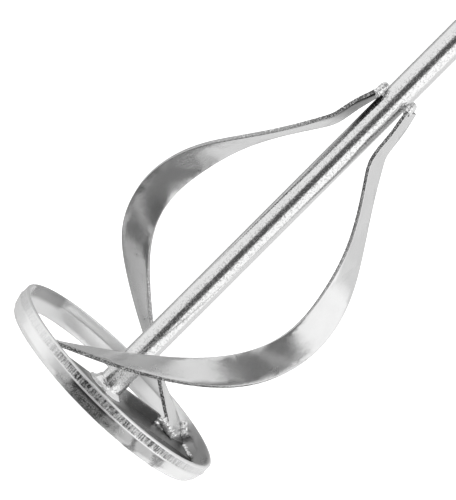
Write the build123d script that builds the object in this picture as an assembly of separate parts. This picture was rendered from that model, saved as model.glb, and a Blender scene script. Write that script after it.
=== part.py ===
"""Mortar mixing paddle: a welded steel cage on a round shaft.

Millimetres. +Z runs along the shaft, away from the ring. The origin is the
centre of the ring's lower face, the face that the tool stands on. +X points
to the side where blade B bulges out; blade A is blade B turned half a turn.
"""
import os
from math import cos, radians, sin

from build123d import *

# Shaft
SHAFT_RADIUS = 6.7
SHAFT_TOP = 562.0

# Ring: a hoop of flat steel, straight above a low ridge and bent in below it
RING_RADIUS = 60.5
RING_HEIGHT = 12.0
RING_WALL = 2.5
RING_OUTER_ROUND = 0.9
RING_INNER_ROUND = 0.5
RING_SEAM_AZIMUTH = 285.0
# The hoop's section from the foot up: how far in it stands, and its height
RING_SECTION = [
    (2.8, 0.0),
    (1.2, 2.5),
    (0.3, 5.7),
    (0.0, 7.5),
    (0.0, RING_HEIGHT),
]

# Flat bar across the foot of the ring, under the shaft and the blade ends
BAR_AZIMUTH = 38.0
BAR_THICKNESS = 3.0
BAR_NEAR_EDGE = -15.5
BAR_FAR_EDGE = 6.5

# Narrow bar on edge on the blade A side
STIFFENER_HEIGHT = 4.8
STIFFENER_THICKNESS = 2.4
STIFFENER_REACH = 35.0

# Blades: flat strip, bent and twisted
STRIP_WIDTH = 16.2
STRIP_THICKNESS = 2.0
# One row per bend of blade A, from the ring to the shaft: height, x, y, and
# how far the strip's width is turned away from pointing outward, in degrees.
BLADE_BENDS = [
    (-1.0, 48.0, 35.0, 18),
    (5.7, 36.4, 34.4, 18),
    (17.0, 16.4, 33.3, 18),
    (31.5, -6.9, 31.5, 18),
    (48.0, -28.4, 25.7, 16),
    (67.0, -43.8, 14.0, 14),
    (88.5, -49.4, 6.9, 23),
    (110.0, -46.3, 3.5, 40),
    (131.5, -37.3, -0.7, 61),
    (155.5, -23.0, -1.8, 72),
    (165.5, -16.9, -0.8, 75),
    (171.0, -14.0, 0.2, 78),
    (177.0, -12.6, 0.8, 80),
]
# The two strips end by hand at different heights, B's a little off the shaft
BLADE_A_END = [
    (183.0, -11.4, 0.9, 81),
    (189.0, -9.7, 0.9, 83),
    (196.0, -7.8, 0.9, 86),
    (203.0, -6.4, 0.9, 88),
]
BLADE_B_END = [
    (183.0, -12.0, 0.9, 81),
    (189.0, -11.2, 0.9, 82),
    (196.0, -9.8, 0.9, 84),
    (203.0, -8.2, 0.9, 86),
]
BLADE_A_TOP = 194.5
BLADE_B_TOP = 198.5
TOP_WELD_A_RISE = 4.0
TOP_WELD_B_RISE = 1.8

# Collar of weld round the shaft's foot
COLLAR_WIDTH = 3.4
COLLAR_HEIGHT = 4.0
COLLAR_SHIFT = -0.7
COLLAR_OVERLAP = 1.5

# Drive end: hexagon and M14 thread
HEX_FLATS = 22.0
HEX_HEIGHT = 14.0
SOCKET_DEPTH = 9.0
THREAD_RADIUS = 7.0
THREAD_LENGTH = 24.0
THREAD_CHAMFER = 1.2
NECK_RADIUS = 5.9
NECK_HEIGHT = 2.5


def at_angle(radius, azimuth, height):
    """The point at a radius and an azimuth round the shaft."""
    turn = radians(azimuth)
    return Vector(radius * cos(turn), radius * sin(turn), height)


def box_between(x_range, y_range, z_range):
    """A box given by its two ends on each axis."""
    spans = [high - low for low, high in (x_range, y_range, z_range)]
    centre = [(low + high) / 2 for low, high in (x_range, y_range, z_range)]
    return Pos(*centre) * Box(*spans)


def bar_point(reach, aside, height):
    """A point given along the cross bar's line, aside from it, and up."""
    turn = radians(BAR_AZIMUTH)
    across = reach * cos(turn) - aside * sin(turn)
    away = reach * sin(turn) + aside * cos(turn)
    return Vector(across, away, height)


def ring_face(face_radius):
    """Section points of the hoop's face whose straight part has a radius."""
    return [(face_radius - inset, height) for inset, height in RING_SECTION]


def make_ring():
    """The hoop: its section turned about the shaft's axis, rims rounded."""
    outer = ring_face(RING_RADIUS)
    inner = ring_face(RING_RADIUS - RING_WALL)
    outline = Plane.XZ * make_face(Polyline(*outer, *reversed(inner), close=True))
    hoop = revolve(outline, Axis.Z)
    rims = hoop.edges().filter_by(GeomType.CIRCLE).group_by(Axis.Z)[-1]
    hoop = fillet(rims.sort_by(SortBy.RADIUS)[-1], RING_OUTER_ROUND)
    rims = hoop.edges().filter_by(GeomType.CIRCLE).group_by(Axis.Z)[-1]
    return fillet(rims.sort_by(SortBy.RADIUS)[0], RING_INNER_ROUND)


def make_ring_room():
    """The room inside the ring, which trims what is fitted into it."""
    inner = ring_face(RING_RADIUS - RING_WALL)
    outline = [(0.0, 0.0), *inner, (0.0, RING_HEIGHT)]
    return revolve(Plane.XZ * make_face(Polyline(*outline, close=True)), Axis.Z)


def make_strip(bends):
    """A flat strip lofted through its bends, its width turned at each one."""
    points = [Vector(x, y, height) for height, x, y, lean in bends]
    path = Spline(*points)
    sections = []
    for point, (height, x, y, lean) in zip(points, bends):
        along = path.tangent_at(point)
        outward = Vector(x, y, 0).normalized()
        outward = (outward - along * outward.dot(along)).normalized()
        sideways = along.cross(outward)
        width_way = outward * cos(radians(lean)) + sideways * sin(radians(lean))
        plane = Plane(origin=point, x_dir=width_way, z_dir=along)
        sections.append(plane * Rectangle(STRIP_WIDTH, STRIP_THICKNESS))
    return loft(sections)


def make_blade(ring_room, shaft, end_bends, top):
    """Blade A, cut off on the cross bar, inside the ring and at its top."""
    strip = make_strip(BLADE_BENDS + end_bends)
    reach = 1.5 * RING_RADIUS
    below_bar = box_between((-reach, reach), (-reach, reach), (-reach, BAR_THICKNESS))
    ring_slab = box_between((-reach, reach), (-reach, reach), (-1, RING_HEIGHT))
    above_top = box_between((-reach, reach), (-reach, reach), (top, top + reach))
    return strip - below_bar - above_top - (ring_slab - ring_room) - shaft


def cut_back(shape, neighbours):
    """A weld cut back to its neighbours' bare metal, loose slivers dropped."""
    for neighbour in neighbours:
        shape = shape - neighbour
    return shape.solids().sort_by(SortBy.VOLUME)[-1]


def make_run(start, end, radius, lumps):
    """A straight run of weld: a rippled bar, one swell for each lump."""
    run = end - start
    pitch = run.length / lumps
    ripple = [(0.0, 0.7 * radius)]
    for index in range(lumps):
        swell = radius * (1.0 + 0.12 * sin(2.3 * index + 0.6))
        ripple.append(((index + 0.5) * pitch, swell))
        ripple.append(((index + 1.0) * pitch, 0.8 * radius))
    back = Polyline(ripple[-1], (run.length, 0.0), (0.0, 0.0), ripple[0])
    bar = revolve(make_face(Spline(*ripple) + back), Axis.X)
    across = run.cross(Vector(0.3, -0.5, 0.8))
    return Plane(origin=start, x_dir=run, z_dir=across) * bar


def make_bead(points, radius, lumps, neighbours):
    """A weld bead: rippled runs from point to point, cut back to the steel."""
    bead = Part()
    for start, end in zip(points[:-1], points[1:]):
        bead += make_run(Vector(*start), Vector(*end), radius, lumps)
    return cut_back(bead, neighbours)


def make_collar(width, height, level, upward, shift, neighbours):
    """A fillet weld round the shaft, hollowed a little and laid off centre."""
    toe = SHAFT_RADIUS + width
    crest = level + upward * height
    middle = (SHAFT_RADIUS + 0.36 * width, level + upward * 0.42 * height)
    face = ThreePointArc((toe, level + upward * 0.5), middle, (SHAFT_RADIUS, crest))
    inside = SHAFT_RADIUS - COLLAR_OVERLAP
    back = Polyline((SHAFT_RADIUS, crest), (inside, crest), (inside, level), (toe, level))
    lip = Line((toe, level), (toe, level + upward * 0.5))
    outline = Plane.XZ * make_face(face + back + lip)
    return cut_back(Pos(shift, 0, 0) * revolve(outline, Axis.Z), neighbours)


def make_top_weld(top, rise, neighbours):
    """The bead over the upper end of blade A: up, across and down again."""
    points = [
        (-8.5, -6.6, top - 1.0),
        (-7.8, -3.6, top + rise),
        (-7.8, 3.6, top + rise - 0.5),
        (-8.6, 7.0, top - 1.6),
    ]
    return make_bead(points, 2.3, 3, neighbours)


def half_turn(shape):
    """The same piece on the other side of the shaft."""
    return Rot(0, 0, 180) * shape


ring_room = make_ring_room()
ring = make_ring()
shaft = Pos(0, 0, BAR_THICKNESS) * Cylinder(
    SHAFT_RADIUS, SHAFT_TOP - BAR_THICKNESS, align=(Align.CENTER, Align.CENTER, Align.MIN)
)
bar_box = box_between(
    (-RING_RADIUS, RING_RADIUS), (BAR_NEAR_EDGE, BAR_FAR_EDGE), (0, BAR_THICKNESS)
)
cross_bar = (Rot(0, 0, BAR_AZIMUTH) * bar_box) & ring_room

stiffener_top = BAR_THICKNESS + STIFFENER_HEIGHT
stiffener_box = box_between(
    (0, STIFFENER_REACH), (0, STIFFENER_THICKNESS), (BAR_THICKNESS, stiffener_top)
)
blade_a = make_blade(ring_room, shaft, BLADE_A_END, BLADE_A_TOP)
blade_b = half_turn(make_blade(ring_room, shaft, BLADE_B_END, BLADE_B_TOP))
stiffener = Rot(0, 0, BAR_AZIMUTH) * stiffener_box - shaft - blade_a
steel = [ring, shaft, cross_bar, stiffener, blade_a, blade_b]

# Fillet weld round the shaft's foot, standing on the cross bar
foot_weld = make_collar(
    COLLAR_WIDTH, COLLAR_HEIGHT, BAR_THICKNESS, 1, COLLAR_SHIFT, steel
)

# Upper ends of the blades on the shaft
blade_a_top_weld = make_top_weld(BLADE_A_TOP, TOP_WELD_A_RISE, [shaft, blade_a])
b_neighbours = [shaft, half_turn(blade_b)]
blade_b_top_weld = half_turn(make_top_weld(BLADE_B_TOP, TOP_WELD_B_RISE, b_neighbours))

# Lower ends of the blades: a bead on the cross bar and one on the ring's wall
foot_points = [
    bar_point(37.8, 2.2, BAR_THICKNESS + 3.4),
    bar_point(46.0, -4.6, BAR_THICKNESS + 0.8),
]
blade_a_foot_weld = make_bead(foot_points, 2.5, 5, steel)
blade_b_foot_weld = cut_back(half_turn(blade_a_foot_weld), [blade_b])
wall_radius = RING_RADIUS - RING_WALL - 1.0
wall_points = [at_angle(wall_radius, 41, 5.4), at_angle(wall_radius, 49, 9.0)]
blade_a_ring_weld = make_bead(wall_points, 2.5, 3, steel + [blade_a_foot_weld])
blade_b_ring_weld = cut_back(half_turn(blade_a_ring_weld), [blade_b])

# Stiffener: a bead along its base and one up its outer end
far_side = STIFFENER_THICKNESS + 0.2
base_points = [bar_point(reach, far_side, BAR_THICKNESS) for reach in (12.5, 31.0)]
stiffener_weld = make_bead(base_points, 1.2, 9, steel + [foot_weld])
end_points = [
    bar_point(STIFFENER_REACH + 0.8, 0.4, BAR_THICKNESS + 0.4),
    bar_point(STIFFENER_REACH + 0.4, 0.4, stiffener_top - 1.0),
]
end_neighbours = steel + [blade_a_foot_weld, stiffener_weld]
stiffener_end_weld = make_bead(end_points, 1.9, 2, end_neighbours)

# Ends of the cross bar on the ring's wall
bar_end_reach = RING_RADIUS - RING_WALL - 2.0
end_swings = [-14.0, -2.0]
bar_end_points = [
    at_angle(bar_end_reach, BAR_AZIMUTH + swing, BAR_THICKNESS) for swing in end_swings
]
far_end_points = [
    at_angle(bar_end_reach, BAR_AZIMUTH + 180 - swing, BAR_THICKNESS)
    for swing in end_swings
]
blade_welds = [blade_a_foot_weld, blade_a_ring_weld, blade_b_foot_weld, blade_b_ring_weld]
cross_bar_weld_a = make_bead(bar_end_points, 1.8, 5, steel + blade_welds)
cross_bar_weld_b = make_bead(far_end_points, 1.8, 5, steel + blade_welds)

# Butt seam of the hoop, standing a little proud of the inner wall
seam_radius = RING_RADIUS - RING_WALL + 0.3
seam_points = [
    at_angle(seam_radius - inset, RING_SEAM_AZIMUTH, height)
    for inset, height in [(2.2, 1.3), (0.3, 5.7), (0.0, RING_HEIGHT - 1.6)]
]
ring_seam_weld = make_bead(seam_points, 1.2, 4, steel)

# Drive adapter: hexagon with a socket for the shaft, neck and M14 thread
hex_low = SHAFT_TOP - SOCKET_DEPTH
neck_low = hex_low + HEX_HEIGHT
thread_low = neck_low + NECK_HEIGHT
hex_outline = RegularPolygon(HEX_FLATS / 2, 6, major_radius=False)
hexagon = Pos(0, 0, hex_low) * extrude(hex_outline, HEX_HEIGHT)
corner_trim = Cylinder(HEX_FLATS * 0.56, HEX_HEIGHT)
corner_trim = chamfer(corner_trim.edges().filter_by(GeomType.CIRCLE), 1.4)
upright = (Align.CENTER, Align.CENTER, Align.MIN)
neck = Pos(0, 0, neck_low) * Cylinder(NECK_RADIUS, NECK_HEIGHT, align=upright)
thread = Pos(0, 0, thread_low) * Cylinder(THREAD_RADIUS, THREAD_LENGTH, align=upright)
thread = chamfer(thread.edges().group_by(Axis.Z)[-1], THREAD_CHAMFER)
hexagon = hexagon & (Pos(0, 0, hex_low + HEX_HEIGHT / 2) * corner_trim)
drive_adapter = hexagon + neck + thread - shaft

adapter_weld = make_collar(2.4, 2.8, hex_low, -1, 0.0, [shaft, drive_adapter])

PARTS = {
    "shaft": shaft,
    "ring": ring,
    "cross_bar": cross_bar,
    "stiffener": stiffener,
    "blade_a": blade_a,
    "blade_b": blade_b,
    "foot_weld": foot_weld,
    "blade_a_top_weld": blade_a_top_weld,
    "blade_b_top_weld": blade_b_top_weld,
    "blade_a_foot_weld": blade_a_foot_weld,
    "blade_b_foot_weld": blade_b_foot_weld,
    "blade_a_ring_weld": blade_a_ring_weld,
    "blade_b_ring_weld": blade_b_ring_weld,
    "stiffener_weld": stiffener_weld,
    "stiffener_end_weld": stiffener_end_weld,
    "cross_bar_weld_a": cross_bar_weld_a,
    "cross_bar_weld_b": cross_bar_weld_b,
    "ring_seam_weld": ring_seam_weld,
    "drive_adapter": drive_adapter,
    "adapter_weld": adapter_weld,
}

os.makedirs("parts", exist_ok=True)
for name, shape in PARTS.items():
    export_step(shape, f"parts/{name}.step")
    print(name, "solids", len(shape.solids()), "volume", round(shape.volume, 1))
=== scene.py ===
"""Mortar mixing paddle: finishes, hoop, thread and weld detail, camera and studio."""
import math

import bpy
from mathutils import Matrix, Vector, noise


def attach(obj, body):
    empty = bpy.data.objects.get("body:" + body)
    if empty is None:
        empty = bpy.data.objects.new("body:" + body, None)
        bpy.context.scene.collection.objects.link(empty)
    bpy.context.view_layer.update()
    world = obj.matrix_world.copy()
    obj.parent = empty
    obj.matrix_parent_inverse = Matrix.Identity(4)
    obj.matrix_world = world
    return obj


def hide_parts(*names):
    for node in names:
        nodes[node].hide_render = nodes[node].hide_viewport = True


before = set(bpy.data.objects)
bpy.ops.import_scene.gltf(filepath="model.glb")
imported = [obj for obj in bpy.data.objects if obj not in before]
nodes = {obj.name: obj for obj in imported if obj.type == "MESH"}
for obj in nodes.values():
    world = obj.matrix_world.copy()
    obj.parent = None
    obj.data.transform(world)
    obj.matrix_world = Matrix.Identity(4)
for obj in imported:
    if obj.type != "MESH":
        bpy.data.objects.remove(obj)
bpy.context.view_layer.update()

MM = 0.001

# Hoop, the same section as the CAD ring
HOOP_RADIUS = 60.5 * MM
HOOP_WALL = 2.5 * MM
HOOP_HEIGHT = 12.0 * MM
# Its face from the foot up: height and how far in it stands, in mm
HOOP_FACE = [
    (0, 3.0),
    (0.3, 2.6),
    (2.5, 1.2),
    (5.7, 0.35),
    (6.6, 0.08),
    (7.1, 0.0),
    (7.5, 0.14),
    (7.8, 0.2),
    (12, 0.2),
]
RIDGE_TOP = 7.5 * MM
FOOT_LEAN = 2.7 * MM
OUTER_ROUND = 0.9 * MM
INNER_ROUND = 0.5 * MM
RIM_ROWS = 5
OUTER_ROW = 0.4 * MM
INNER_ROW = 3.5 * MM
HOOP_STEPS = 1600
# Upright roller marks above the ridge, and shallow dents
RIB_PITCH = 1.1 * MM
RIB_LENGTH = 9.0 * MM
RIB_DEPTH = 0.16 * MM
RIB_RATIO = 2.3
# Heights where they start and end, and the stretch from the left over which they deepen
RIBS_START = (7.3 * MM, 7.9 * MM)
RIBS_END = (11.4 * MM, 10.4 * MM)
RIBS_DEEPEN = (-45 * MM, -5 * MM)
RIBS_SHALLOW = 0.35
DENT_PITCH = 14.0 * MM
DENT_DEPTH = 0.05 * MM
# Hoop marks and painted shade: from, to and softness, across the hoop or up it, or as angles
# round it
MARKS_UP = (RIDGE_TOP, 11.1 * MM, 0.3 * MM)
MARKS_ACROSS = (-28 * MM, 47 * MM, 12 * MM)
BURNS_ACROSS = (-14 * MM, 5 * MM, 3 * MM)
SCALE_ACROSS = (-17 * MM, 14 * MM, 6 * MM)
NEAR_SPOT = (24 * MM, 29 * MM, 1.5 * MM)
FAR_SPOT = (39 * MM, 43 * MM, 1.5 * MM)
SCALE_WANDER = 22 * MM
RIGHT_SHADE = (-0.35, 0.80, 0.10)
LEFT_SHADE = (2.38, 3.0, 0.05)
# Radii, with the lean taken out, between the inner wall and the outer face
SKIN_DIVIDE = (58.7 * MM, 59.2 * MM)

# Drive adapter
HEX_FLATS = 22.0 * MM
HEX_LOW = 553.0 * MM
HEX_HEIGHT = 14.0 * MM
HEX_CORNER = 12.32 * MM
HEX_CHAMFER = 1.4 * MM
HEX_ROWS = (0.0, 0.05, 0.1, 0.5, 0.9, 0.95, 1.0)
SOCKET_RADIUS = 6.72 * MM
NECK_RADIUS = 5.9 * MM
THREAD_LOW = 569.5 * MM
THREAD_HIGH = 593.5 * MM
THREAD_RADIUS = 7.0 * MM
THREAD_DEPTH = 1.15 * MM
THREAD_PITCH = 2.0 * MM
THREAD_CHAMFER = 1.2 * MM
THREAD_ROWS = 150
ADAPTER_STEPS = 180
ADAPTER_CREASE = math.radians(32)

# Strips
STRIP_ROUND = 0.4 * MM
STRIP_CREASE = math.radians(50)
SAME_POINT = 0.0005 * MM
# Where the painted shade and the darker marks on the strips start and where they are full:
# heights, and one side
FACE_SHADE = (166 * MM, 182 * MM)
BLADE_A_SIDE = (-4 * MM, -6 * MM)
EDGE_NEAR_WELDS = (150 * MM, 172 * MM)
LOW_DARKENING = (40 * MM, 30 * MM)
FACING_DOWN = (0.05, -0.25)

# Weld skins: lumps with finer ripples on them, sunk a little so that they don't swell
BEAD_VOXEL = 0.3 * MM
BEAD_PITCH = 2.8 * MM
BEAD_DEPTH = 0.30 * MM
BEAD_ROUNDS = 1
TOP_BEAD_DEPTH = 0.15 * MM
TOP_BEAD_ROUNDS = 30
BEAD_SINK = 0.2
RIPPLE_SHARE = 0.2
RIPPLE_RATIO = 2.2

# Camera
ELEVATION = math.radians(10.15)
FRAME_SPAN = 0.2345
LENS = 600.0
SENSOR = 36.0
AIM = Vector((-0.0057, 0.0, 0.0909))

# Surroundings, by direction: degrees round from the front, and degrees up.
# Each side of the room has a start, an end, a softness and a tone.
REAR_TONE = 0.42
ROOM_SIDES = [(-118, -20, 8, 0.84), (22, 92, 7, 1.08), (92, 178, 8, 0.74)]
VIEWER_DARK = 0.87
CEILING_DARK = 0.86
DARKEST = 0.90
NADIR_DARK = 0.42
FLOOR_REACH = 20.0
FLOOR_GREY = 0.9
FLOOR_GLOW = 0.8


# ---------------------------------------------------------------- node helpers
class Graph:
    """A node tree written as calls: each returns the socket that it makes."""

    def __init__(self, tree):
        self.tree = tree

    def feed(self, node, socket, value):
        target = node.inputs[socket]
        if isinstance(value, bpy.types.NodeSocket):
            self.tree.links.new(value, target)
        else:
            target.default_value = value

    def add(self, kind, inputs=None, out=0, **settings):
        node = self.tree.nodes.new(kind)
        for key, value in settings.items():
            setattr(node, key, value)
        for socket, value in (inputs or {}).items():
            self.feed(node, socket, value)
        return node.outputs[out] if len(node.outputs) else None

    def math(self, operation, a, b=0.0):
        return self.add("ShaderNodeMath", {0: a, 1: b}, operation=operation)

    def plus(self, a, b):
        return self.math("ADD", a, b)

    def minus(self, a, b):
        return self.math("SUBTRACT", a, b)

    def most(self, a, b):
        return self.math("MAXIMUM", a, b)

    def times(self, first, *others):
        product = first
        for factor in others:
            product = self.math("MULTIPLY", product, factor)
        return product

    def more(self, value, mask, amount):
        """The value, raised by an amount where the mask is 1."""
        return self.plus(value, self.times(mask, amount))

    def less(self, value, mask, amount):
        """The value, lowered by an amount where the mask is 1."""
        return self.minus(value, self.times(mask, amount))

    def mix(self, factor, a, b):
        return self.plus(a, self.times(factor, self.minus(b, a)))

    def ramp(self, value, low, high, to_low=0.0, to_high=1.0):
        inputs = {"Value": value, "From Min": low, "From Max": high}
        inputs.update({"To Min": to_low, "To Max": to_high})
        return self.add("ShaderNodeMapRange", inputs, interpolation_type="SMOOTHSTEP")

    def band(self, value, low, high, soft):
        rise = self.ramp(value, low - soft, low + soft)
        fall = self.ramp(value, high - soft, high + soft, 1.0, 0.0)
        return self.times(rise, fall)

    def noise(self, place, per_metre, detail=2.0, rough=0.5, warp=0.0):
        """Noise with so many cycles per metre: one number, or one for each axis."""
        if isinstance(per_metre, tuple):
            place = self.add("ShaderNodeMapping", {"Vector": place, "Scale": per_metre})
            per_metre = 1.0
        inputs = {"Vector": place, "Scale": per_metre, "Detail": detail}
        inputs.update({"Roughness": rough, "Distortion": warp})
        return self.add("ShaderNodeTexNoise", inputs)

    def split(self, vector):
        """The x, y and z of a vector."""
        return self.add("ShaderNodeSeparateXYZ", {"Vector": vector}).node.outputs

    def grey(self, value):
        return self.add("ShaderNodeCombineColor", {0: value, 1: value, 2: value})


# ---------------------------------------------------------------- materials
def metal(name, build, metallic):
    """A metal. build(graph, place) gives its grey, roughness, bumps and their height."""
    material = bpy.data.materials.new(name)
    material.use_nodes = True
    tree = material.node_tree
    tree.nodes.clear()
    graph = Graph(tree)
    place = graph.add("ShaderNodeTexCoord", out="Object")
    grey, rough, bumps, depth = build(graph, place)
    normal = graph.add("ShaderNodeBump", {"Height": bumps, "Distance": depth, "Strength": 1.0})
    shader = graph.add("ShaderNodeBsdfPrincipled", {"Base Color": graph.grey(grey)})
    graph.feed(shader.node, "Metallic", metallic)
    graph.feed(shader.node, "Roughness", rough)
    graph.feed(shader.node, "Normal", normal)
    graph.add("ShaderNodeOutputMaterial", {"Surface": shader})
    return material


def build_shaft(graph, place):
    """Drawn bar: fine lengthwise lines, duller specks, faint soft patches."""
    lines = graph.noise(place, (900, 900, 25), detail=3.0, rough=0.6)
    grain = graph.noise(place, 1000.0, rough=0.6)
    patch = graph.noise(place, (90, 90, 22))
    dull = graph.ramp(graph.noise(place, 1150.0, rough=0.6), 0.48, 0.62)
    grey = graph.mix(patch, 0.87, 0.98)
    rough = graph.more(graph.mix(lines, 0.06, 0.12), dull, 0.30)
    bumps = graph.plus(graph.times(lines, 0.4), graph.times(grain, 1.2))
    return grey, rough, bumps, 0.04 * MM


def build_strip(graph, place):
    """Rolled flat steel: cloudy zinc finish, stains, fine speckle, and painted shade under
    blade A's upper weld.
    """
    cloud = graph.noise(place, 55.0, detail=4.0, rough=0.55, warp=0.4)
    speckle = graph.noise(place, 800.0, detail=3.0, rough=0.7)
    ripple = graph.noise(place, 120.0)
    stain = graph.ramp(graph.noise(place, 34.0, detail=5.0, rough=0.65, warp=1.2), 0.52, 0.70)
    dark_specks = graph.ramp(speckle, 0.58, 0.72)
    worn = graph.times(dark_specks, graph.plus(stain, 0.2))
    # Painted shade on blade A's face, up by its upper weld
    across, _, height = graph.split(place)
    weld_shade = graph.times(graph.ramp(height, *FACE_SHADE), graph.ramp(across, *BLADE_A_SIDE))
    grey = graph.mix(cloud, 0.74, 0.94)
    grey = graph.less(grey, stain, 0.12)
    grey = graph.less(grey, worn, 0.25)
    # Painted shade under blade A's upper weld
    grey = graph.less(grey, weld_shade, 0.74)
    rough = graph.more(graph.mix(cloud, 0.16, 0.28), stain, 0.08)
    return grey, rough, graph.more(ripple, speckle, 0.3), 0.10 * MM


def build_edge(graph, place):
    """Sheared edge of the strip: torn and pitted, its pits darker low down and near the upper
    welds, with painted shade in the pits wherever the edge faces down."""
    pits = graph.ramp(graph.noise(place, 1500.0, rough=0.7), 0.40, 0.52)
    height = graph.split(place)[2]
    # Painted shade in the pits where the edge faces down; the pits are also darker low down
    # and near the upper welds
    facing = graph.split(graph.add("ShaderNodeNewGeometry", out="Normal"))[2]
    shade_and_darkening = graph.most(graph.ramp(facing, *FACING_DOWN), graph.ramp(height, *EDGE_NEAR_WELDS))
    shade_and_darkening = graph.most(shade_and_darkening, graph.ramp(height, *LOW_DARKENING))
    grey = graph.mix(pits, 0.95, graph.mix(shade_and_darkening, 0.58, 0.16))
    rough = graph.mix(pits, 0.22, 0.5)
    return grey, rough, graph.minus(1.0, pits), 0.2 * MM


def hoop_streaks(graph, place, outside, fine):
    """Darker upright marks above the ridge, with burns near the middle."""
    across, _, height = graph.split(place)
    worked = graph.mix(graph.band(across, *MARKS_ACROSS), 0.2, 1.0)
    ribs = graph.times(graph.band(height, *MARKS_UP), outside, worked)
    marks = graph.noise(place, (900, 900, 120), detail=3.0, rough=0.7)
    marks = graph.times(graph.ramp(marks, 0.40, 0.62), 0.50)
    grit = graph.times(graph.ramp(fine, 0.34, 0.56), 0.44)
    burns = graph.ramp(graph.noise(place, (300, 300, 110)), 0.52, 0.60)
    burns = graph.times(burns, graph.band(across, *BURNS_ACROSS), ribs, 0.45)
    return graph.plus(graph.times(ribs, graph.plus(marks, grit)), burns)


def hoop_scale(graph, place, outside):
    """Scale left by welding on the front of the turned-in foot."""
    across, away, height = graph.split(place)
    foot = graph.times(graph.ramp(height, 6.9 * MM, 6.5 * MM), outside)
    front = graph.ramp(away, -25 * MM, -45 * MM)
    wander = graph.minus(graph.noise(place, 130.0, detail=4.0, rough=0.7), 0.5)
    ragged = graph.more(across, wander, SCALE_WANDER)
    spots = graph.most(graph.band(ragged, *NEAR_SPOT), graph.band(ragged, *FAR_SPOT))
    scale = graph.most(graph.band(ragged, *SCALE_ACROSS), graph.times(spots, 0.7))
    scale = graph.times(scale, foot, front)
    mottle = graph.ramp(graph.noise(place, 1900.0, rough=0.7), 0.42, 0.62)
    mottle = graph.times(mottle, graph.ramp(height, 6.2 * MM, 4.6 * MM))
    return graph.times(scale, graph.mix(mottle, 1.0, 0.60))


def hoop_painted_shade(graph, place, outside, cloud):
    """Painted shade in patches on the inner wall: a long one at the right, a short one at the
    left.
    """
    across, away, height = graph.split(place)
    around = graph.more(graph.math("ARCTAN2", away, across), graph.minus(cloud, 0.5), 0.35)
    right_shade = graph.times(graph.band(around, *RIGHT_SHADE), 0.46)
    high = graph.ramp(height, 4.5 * MM, RIDGE_TOP)
    left_shade = graph.times(graph.band(around, *LEFT_SHADE), high, 0.55)
    return graph.times(graph.plus(right_shade, left_shade), graph.minus(1.0, outside))


def build_ring(graph, place):
    """Hoop: roller marks above the ridge, burnt patches below, painted shade in patches
    inside.
    """
    across, away, height = graph.split(place)
    squares = graph.plus(graph.math("POWER", across, 2.0), graph.math("POWER", away, 2.0))
    radius = graph.math("SQRT", squares)
    lean = graph.ramp(height, RIDGE_TOP, 0.0, 0.0, FOOT_LEAN)
    outside = graph.ramp(graph.plus(radius, lean), *SKIN_DIVIDE)
    cloud = graph.noise(place, 60.0, detail=4.0, rough=0.6, warp=0.5)
    fine = graph.noise(place, 1700.0, rough=0.6)
    scale = hoop_scale(graph, place, outside)
    grey = graph.mix(cloud, 0.90, 1.0)
    grey = graph.minus(grey, hoop_streaks(graph, place, outside, fine))
    grey = graph.less(grey, scale, 0.90)
    # Painted shade on the inner wall, a long patch at the right and a short one at the left
    grey = graph.minus(grey, hoop_painted_shade(graph, place, outside, cloud))
    rough = graph.more(graph.mix(cloud, 0.18, 0.30), scale, 0.15)
    return graph.most(grey, 0.05), rough, graph.more(cloud, fine, 0.4), 0.12 * MM


def build_bar(graph, place):
    """Cross bar: hot-rolled steel darkened by welding, with spatter."""
    cloud = graph.noise(place, 70.0, detail=5.0, rough=0.65, warp=0.8)
    specks = graph.ramp(graph.noise(place, 900.0, detail=3.0, rough=0.7), 0.60, 0.70)
    spread = graph.add("ShaderNodeVectorMath", {0: place}, out="Value", operation="LENGTH")
    bright = graph.ramp(graph.more(spread, cloud, 6 * MM), 19 * MM, 13 * MM)
    grey = graph.mix(cloud, 0.12, 0.30)
    grey = graph.more(grey, bright, 0.35)
    grey = graph.more(grey, specks, 0.35)
    rough = graph.mix(cloud, 0.26, 0.42)
    return grey, rough, graph.more(cloud, specks, 0.5), 0.25 * MM


def build_weld(graph, place):
    """Weld metal: bright rippled lumps with sooty hollows."""
    lumps = graph.noise(place, 420.0, detail=3.0, rough=0.6, warp=0.4)
    soot = graph.ramp(graph.noise(place, 420.0, detail=3.0, rough=0.6), 0.60, 0.70)
    grey = graph.mix(soot, 0.98, 0.26)
    rough = graph.mix(soot, 0.12, 0.40)
    return grey, rough, lumps, 0.14 * MM


def build_top_weld(graph, place):
    """The same weld metal, run smoother and brighter."""
    grey, rough, lumps, _ = build_weld(graph, place)
    return graph.most(grey, 0.80), graph.most(rough, 0.18), lumps, 0.02 * MM


def build_turned(graph, place):
    """Machined steel: fine rings of tool marks."""
    rings = graph.noise(place, (40, 40, 2600))
    cloud = graph.noise(place, 150.0, detail=3.0, rough=0.6)
    grey = graph.mix(cloud, 0.68, 0.86)
    rough = graph.mix(rings, 0.18, 0.36)
    return grey, rough, rings, 0.03 * MM


SHAFT = metal("drawn_bar", build_shaft, 1.0)
STRIP = metal("strip_face", build_strip, 0.92)
EDGE = metal("strip_edge", build_edge, 0.8)
HOOP = metal("hoop", build_ring, 0.6)
BAR = metal("cross_bar_steel", build_bar, 0.9)
WELD = metal("weld_metal", build_weld, 0.88)
TOP_WELD = metal("top_weld_metal", build_top_weld, 0.8)
TURNED = metal("turned_steel", build_turned, 1.0)


# ---------------------------------------------------------------- CAD nodes
def dress(node, *materials):
    slots = nodes[node].data.materials
    slots.clear()
    for material in materials:
        slots.append(material)


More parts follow.
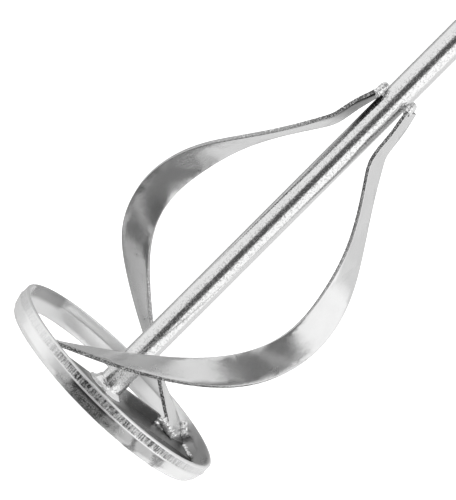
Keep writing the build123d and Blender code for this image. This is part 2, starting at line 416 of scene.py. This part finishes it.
def islands(mesh):
    """Groups of faces that share corners: one group for each face of the CAD solid."""
    owner = list(range(len(mesh.vertices)))

    def find(index):
        while owner[index] != index:
            owner[index] = owner[owner[index]]
            index = owner[index]
        return index

    for face in mesh.polygons:
        first = find(face.vertices[0])
        for corner in face.vertices[1:]:
            owner[find(corner)] = first
    groups = {}
    for face in mesh.polygons:
        groups.setdefault(find(face.vertices[0]), []).append(face)
    return list(groups.values())


def mark_edges(node):
    """Gives the strip's two broad faces slot 0 and all its cut edges slot 1."""
    groups = islands(nodes[node].data)
    groups.sort(key=lambda faces: -sum(face.area for face in faces))
    for rank, faces in enumerate(groups):
        for face in faces:
            face.material_index = 0 if rank < 2 else 1


def soften(node):
    """Rounds a strip's edges a little, with modifiers only."""
    join = nodes[node].modifiers.new("join", "WELD")
    join.merge_threshold = SAME_POINT
    bevel = nodes[node].modifiers.new("edges", "BEVEL")
    bevel.width = STRIP_ROUND
    bevel.segments = 3
    bevel.limit_method = "ANGLE"
    bevel.angle_limit = STRIP_CREASE
    bevel.harden_normals = True


dress("shaft", SHAFT)
dress("cross_bar", BAR)
dress("stiffener", BAR)
for name in ("blade_a", "blade_b"):
    dress(name, STRIP, EDGE)
    mark_edges(name)
    soften(name)


# ---------------------------------------------------------------- new pieces
def new_piece(name, mesh, material, node):
    """An object that stands for a CAD node and rides with it."""
    piece = bpy.data.objects.new(name, mesh)
    bpy.context.scene.collection.objects.link(piece)
    mesh.materials.clear()
    mesh.materials.append(material)
    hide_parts(node)
    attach(piece, "root")


def turned_mesh(name, steps, rows, closed):
    """A skin of rows, each a radius for every step of the turn and a height."""
    points = []
    for radii, height in rows:
        for step, radius in enumerate(radii):
            turn = math.tau * step / steps
            points.append((radius * math.cos(turn), radius * math.sin(turn), height))
    faces = []
    for row in range(len(rows) if closed else len(rows) - 1):
        low, high = row * steps, (row + 1) % len(rows) * steps
        for step in range(steps):
            after = (step + 1) % steps
            faces.append((low + step, low + after, high + after, high + step))
    if not closed:
        top = (len(rows) - 1) * steps
        faces.append(tuple(range(top, top + steps)))
    mesh = bpy.data.meshes.new(name)
    mesh.from_pydata(points, [], faces)
    mesh.shade_smooth()
    return mesh


def smooth(value, low, high):
    part = min(1.0, max(0.0, (value - low) / (high - low)))
    return part * part * (3 - 2 * part)


def face_inset(height):
    """How far in the hoop's face stands at a height."""
    level = height / MM
    for (low, near), (high, far) in zip(HOOP_FACE[:-1], HOOP_FACE[1:]):
        if level <= high:
            return MM * (near + (far - near) * (level - low) / (high - low))
    return MM * HOOP_FACE[-1][1]


def rim_inset(height, radius):
    """How far the rounded rim falls back at a height."""
    above = height - (HOOP_HEIGHT - radius)
    return radius - math.sqrt(max(0.0, radius**2 - above**2)) if above > 0 else 0.0


def relief(turn, height):
    """Depth of the upright roller marks and the dents in the hoop's outer face."""
    x, y = HOOP_RADIUS * math.cos(turn), HOOP_RADIUS * math.sin(turn)
    zone = smooth(height, *RIBS_START) * smooth(height, *RIBS_END)
    worked = RIBS_SHALLOW + (1 - RIBS_SHALLOW) * smooth(x, *RIBS_DEEPEN)
    place = Vector((x / RIB_PITCH, y / RIB_PITCH, height / RIB_LENGTH))
    marks = 0.5 + 0.5 * noise.noise(place) + 0.25 * noise.noise(place * RIB_RATIO)
    dents = noise.noise(Vector((x, y, height)) / DENT_PITCH)
    return RIB_DEPTH * zone * worked * marks + DENT_DEPTH * (1 + dents)


def ladder(radius, step):
    """Heights up the hoop's section and round its rim, no further apart than a step."""
    stops = [height * MM for height, _ in HOOP_FACE[:-1]]
    for part in range(RIM_ROWS + 1):
        rise = math.sin(math.pi / 2 * part / RIM_ROWS)
        stops.append(HOOP_HEIGHT - radius + radius * rise)
    levels = [0.0]
    for low, high in zip(stops[:-1], stops[1:]):
        parts = math.ceil((high - low) / step)
        levels += [low + (high - low) * part / parts for part in range(1, parts + 1)]
    return levels


def make_hoop():
    """One closed skin: up the outer face, over the rim and down the inner face."""
    turns = [math.tau * step / HOOP_STEPS for step in range(HOOP_STEPS)]
    rows = []
    for level in ladder(OUTER_ROUND, OUTER_ROW):
        base = HOOP_RADIUS - face_inset(level) - rim_inset(level, OUTER_ROUND)
        rows.append(([base - relief(turn, level) for turn in turns], level))
    for level in reversed(ladder(INNER_ROUND, INNER_ROW)):
        base = HOOP_RADIUS - HOOP_WALL - face_inset(level) + rim_inset(level, INNER_ROUND)
        rows.append(([base] * HOOP_STEPS, level))
    return turned_mesh("hoop", HOOP_STEPS, rows, True)


def hexagon_radius(turn, height):
    """The hexagon's outline, its corners turned off at top and bottom."""
    flat = (turn + math.pi / 6) % (math.pi / 3) - math.pi / 6
    outline = HEX_FLATS / 2 / math.cos(flat)
    from_end = min(height - HEX_LOW, HEX_LOW + HEX_HEIGHT - height)
    return min(outline, HEX_CORNER - max(0.0, HEX_CHAMFER - from_end))


def thread_radius(turn, height):
    """The M14 helix: a flat crest and root with sloped flanks, chamfered at the tip."""
    phase = (height / THREAD_PITCH - turn / math.tau) % 1.0
    groove = min(1.0, max(0.0, 1.25 - 2.5 * abs(phase - 0.5))) * THREAD_DEPTH
    above = max(0.0, height - (THREAD_HIGH - THREAD_CHAMFER))
    return min(THREAD_RADIUS - groove, THREAD_RADIUS - above)


def make_adapter():
    """Hexagon, neck and a real M14 helix, in one turned skin."""
    turns = [math.tau * step / ADAPTER_STEPS for step in range(ADAPTER_STEPS)]
    rows = [([SOCKET_RADIUS] * ADAPTER_STEPS, HEX_LOW)]
    for part in HEX_ROWS:
        level = HEX_LOW + part * HEX_HEIGHT
        rows.append(([hexagon_radius(turn, level) for turn in turns], level))
    for level in (HEX_LOW + HEX_HEIGHT, THREAD_LOW):
        rows.append(([NECK_RADIUS] * ADAPTER_STEPS, level))
    for index in range(THREAD_ROWS + 1):
        level = THREAD_LOW + (THREAD_HIGH - THREAD_LOW) * index / THREAD_ROWS
        rows.append(([thread_radius(turn, level) for turn in turns], level))
    mesh = turned_mesh("adapter", ADAPTER_STEPS, rows, False)
    mesh.set_sharp_from_angle(angle=ADAPTER_CREASE)
    return mesh


def make_bead(node, rounds, depth):
    """A weld's CAD shape as a finer skin, smoothed some rounds, with lumps and ripples."""
    source = nodes[node]
    body = bpy.data.objects.new("body", source.data.copy())
    body.matrix_world = source.matrix_world
    bpy.context.scene.collection.objects.link(body)
    skin = body.modifiers.new("skin", "REMESH")
    skin.mode = "VOXEL"
    skin.voxel_size = BEAD_VOXEL
    run = body.modifiers.new("run", "SMOOTH")
    run.iterations = rounds
    ready = body.evaluated_get(bpy.context.evaluated_depsgraph_get())
    mesh = bpy.data.meshes.new_from_object(ready)
    mesh.transform(source.matrix_world)
    bpy.data.objects.remove(body)
    normals = [vertex.normal.copy() for vertex in mesh.vertices]
    for vertex, normal in zip(mesh.vertices, normals):
        lump = noise.noise(vertex.co / BEAD_PITCH)
        ripple = noise.noise(vertex.co * RIPPLE_RATIO / BEAD_PITCH)
        vertex.co += normal * depth * (lump + RIPPLE_SHARE * ripple - BEAD_SINK)
    mesh.shade_smooth()
    return mesh


new_piece("hoop", make_hoop(), HOOP, "ring")
new_piece("adapter", make_adapter(), TURNED, "drive_adapter")
for name in list(nodes):
    if name.endswith("_top_weld"):
        bead = make_bead(name, TOP_BEAD_ROUNDS, TOP_BEAD_DEPTH)
        new_piece(f"{name}_bead", bead, TOP_WELD, name)
    elif "weld" in name:
        bead = make_bead(name, BEAD_ROUNDS, BEAD_DEPTH)
        new_piece(f"{name}_bead", bead, WELD, name)


# ---------------------------------------------------------------- camera
def make_camera():
    """Looks down a little from the front, turned so that the shaft runs corner to corner."""
    side = Vector((1, 0, 0))
    along = Vector((0, math.sin(ELEVATION), math.cos(ELEVATION)))
    back = Vector((0, -math.cos(ELEVATION), math.sin(ELEVATION)))
    right = (side + along).normalized()
    up = (along - side).normalized()
    camera = bpy.data.objects.new("camera", bpy.data.cameras.new("camera"))
    bpy.context.scene.collection.objects.link(camera)
    camera.data.lens = LENS
    camera.data.sensor_width = SENSOR
    camera.data.clip_start = 0.1
    camera.data.clip_end = 100.0
    distance = FRAME_SPAN * LENS / SENSOR
    turn = Matrix((right, up, back)).transposed().to_4x4()
    camera.matrix_world = Matrix.Translation(AIM + back * distance) @ turn
    bpy.context.scene.camera = camera


# ---------------------------------------------------------------- studio
def make_floor():
    """A plain pale floor that stays out of the metal's reflections."""
    mesh = bpy.data.meshes.new("floor")
    reach = FLOOR_REACH
    corners = [(-reach, -reach, 0), (reach, -reach, 0), (reach, reach, 0), (-reach, reach, 0)]
    mesh.from_pydata(corners, [], [(0, 1, 2, 3)])
    floor = bpy.data.objects.new("floor", mesh)
    bpy.context.scene.collection.objects.link(floor)
    floor.visible_glossy = False
    material = bpy.data.materials.new("floor")
    material.use_nodes = True
    shader = material.node_tree.nodes["Principled BSDF"]
    shader.inputs["Base Color"].default_value = (FLOOR_GREY, FLOOR_GREY, FLOOR_GREY, 1)
    shader.inputs["Roughness"].default_value = 0.9
    shader.inputs["Emission Color"].default_value = (1, 1, 1, 1)
    shader.inputs["Emission Strength"].default_value = FLOOR_GLOW
    mesh.materials.append(material)


def make_world():
    """A pale room that is dark behind the viewer, low at the front and overhead in front.
    Seen directly it is plain white."""
    world = bpy.data.worlds.new("studio")
    bpy.context.scene.world = world
    world.use_nodes = True
    tree = world.node_tree
    tree.nodes.clear()
    graph = Graph(tree)
    x, y, z = graph.split(graph.add("ShaderNodeTexCoord", out="Generated"))
    azimuth = graph.times(graph.math("ARCTAN2", x, graph.times(y, -1.0)), 180 / math.pi)
    level = graph.times(graph.math("ARCSINE", z), 180 / math.pi)
    tone = REAR_TONE
    for start, end, soft, side_tone in ROOM_SIDES:
        side = graph.band(azimuth, start, end, soft)
        tone = graph.more(tone, side, side_tone - REAR_TONE)

    viewer = graph.times(graph.band(azimuth, -24, 23, 7), graph.ramp(level, 34, 24))
    low_front = graph.times(graph.band(azimuth, -62, 98, 10), graph.ramp(level, -12, -19))
    ceiling = graph.times(graph.band(azimuth, -56, 20, 12), graph.band(level, 37, 78, 7))
    dark = graph.most(graph.times(viewer, VIEWER_DARK), graph.times(ceiling, CEILING_DARK))
    dark = graph.most(dark, low_front)
    tone = graph.times(tone, graph.minus(1.0, graph.times(dark, DARKEST)))
    nadir = graph.times(graph.ramp(level, -42, -60), NADIR_DARK)
    tone = graph.times(tone, graph.minus(1.0, graph.times(nadir, graph.minus(1.0, dark))))

    seen = graph.add("ShaderNodeLightPath", out="Is Camera Ray")
    colour = graph.grey(graph.mix(seen, tone, 1.0))
    light = graph.add("ShaderNodeBackground", {"Color": colour, "Strength": 1.0})
    graph.add("ShaderNodeOutputWorld", {"Surface": light})


make_camera()
make_floor()
make_world()
bpy.context.scene.view_settings.view_transform = "Standard"
